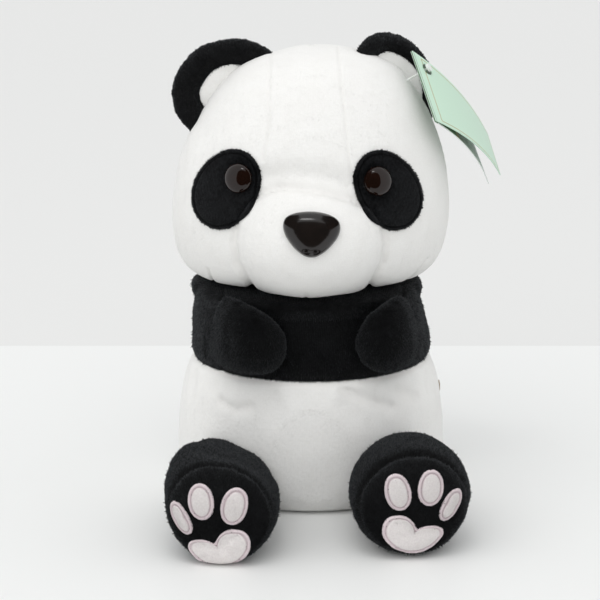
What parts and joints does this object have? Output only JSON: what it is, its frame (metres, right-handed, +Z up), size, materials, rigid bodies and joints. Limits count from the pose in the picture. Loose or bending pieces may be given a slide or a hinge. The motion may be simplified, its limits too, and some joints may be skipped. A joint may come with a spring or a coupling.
{
  "type": "plush panda",
  "caption": "Seated stuffed toy panda with a big round head, black limbs that flex at their seams, padded soles and a folded card tag by one ear.",
  "frame": {"origin": "on the floor, under the middle of the body", "axes": "+Z up, -Y out of the face, +X to the right as seen from the front"},
  "size_m": [0.1868, 0.2284, 0.2575],
  "materials": {
    "white_plush": "short white pile",
    "black_plush": "short black pile",
    "pad_plush": "short pale pile with a stitched edge",
    "stuffing": "loose white fibre, not seen",
    "eye_plastic": "polished, very dark brown",
    "washer_plastic": "moulded, not seen",
    "card": "smooth coated card, pale green",
    "nylon": "clear thin nylon",
    "ribbon": "woven ribbon"
  },
  "bodies": {
    "torso": {"muzzle_panel": "white_plush", "forehead_panel": "white_plush", "cheek_panel_left": "white_plush", "cheek_panel_right": "white_plush", "head_back_left": "white_plush", "head_back_right": "white_plush", "head_stuffing": "stuffing", "chest_front": "black_plush", "chest_back": "black_plush", "belly_front": "white_plush", "belly_back": "white_plush", "base_panel": "white_plush", "body_stuffing": "stuffing", "side_tab": "ribbon", "nose": "eye_plastic", "nose_washer": "washer_plastic", "tag_fastener": "nylon", "eye_left": "eye_plastic", "eye_washer_left": "washer_plastic", "eye_patch_left": "black_plush", "ear_back_left": "black_plush", "ear_inner_left": "white_plush", "eye_right": "eye_plastic", "eye_washer_right": "washer_plastic", "eye_patch_right": "black_plush", "ear_back_right": "black_plush", "ear_inner_right": "white_plush"},
    "arm_left": {"arm_skin_left": "black_plush", "arm_stuffing_left": "stuffing"},
    "leg_left": {"leg_skin_left": "black_plush", "sole_left": "black_plush", "leg_stuffing_left": "stuffing", "heart_pad_left": "pad_plush", "toe_pad_outer_left": "pad_plush", "toe_pad_middle_left": "pad_plush", "toe_pad_inner_left": "pad_plush"},
    "arm_right": {"arm_skin_right": "black_plush", "arm_stuffing_right": "stuffing"},
    "leg_right": {"leg_skin_right": "black_plush", "sole_right": "black_plush", "leg_stuffing_right": "stuffing", "heart_pad_right": "pad_plush", "toe_pad_outer_right": "pad_plush", "toe_pad_middle_right": "pad_plush", "toe_pad_inner_right": "pad_plush"},
    "tag": {"tag_back_leaf": "card"},
    "tag_cover": {"tag_front_leaf": "card"}
  },
  "joints": [
    {"name": "arm_left_flex", "type": "hinge", "parent": "torso", "child": "arm_left", "pos_m": [-0.049, -0.04336, 0.097], "axis": [-0.1577, -0.1483, -0.9763], "range_deg": [0, 80], "stiffness_Nm_per_rad": 0.004},
    {"name": "arm_right_flex", "type": "hinge", "parent": "torso", "child": "arm_right", "pos_m": [0.0512, -0.0409, 0.097], "axis": [-0.165, 0.1401, 0.9763], "range_deg": [0, 80], "stiffness_Nm_per_rad": 0.004},
    {"name": "leg_left_flex", "type": "hinge", "parent": "torso", "child": "leg_left", "pos_m": [-0.047, -0.0572, 0.0405], "axis": [-0.779, 0.627, 0], "range_deg": [0, 12]},
    {"name": "leg_right_flex", "type": "hinge", "parent": "torso", "child": "leg_right", "pos_m": [0.0496, -0.0551, 0.042], "axis": [-0.7572, -0.6532, 0], "range_deg": [0, 12]},
    {"name": "tag_swing", "type": "hinge", "parent": "torso", "child": "tag", "pos_m": [0.06213, -0.0114, 0.23902], "axis": [-0.9461, -0.324, 0], "range_deg": [0, 30]},
    {"name": "tag_cover_open", "type": "hinge", "parent": "tag", "child": "tag_cover", "pos_m": [0.056, -0.01, 0.25], "axis": [0.2449, -0.6648, -0.7058], "range_deg": [0, 110]}
  ]
}
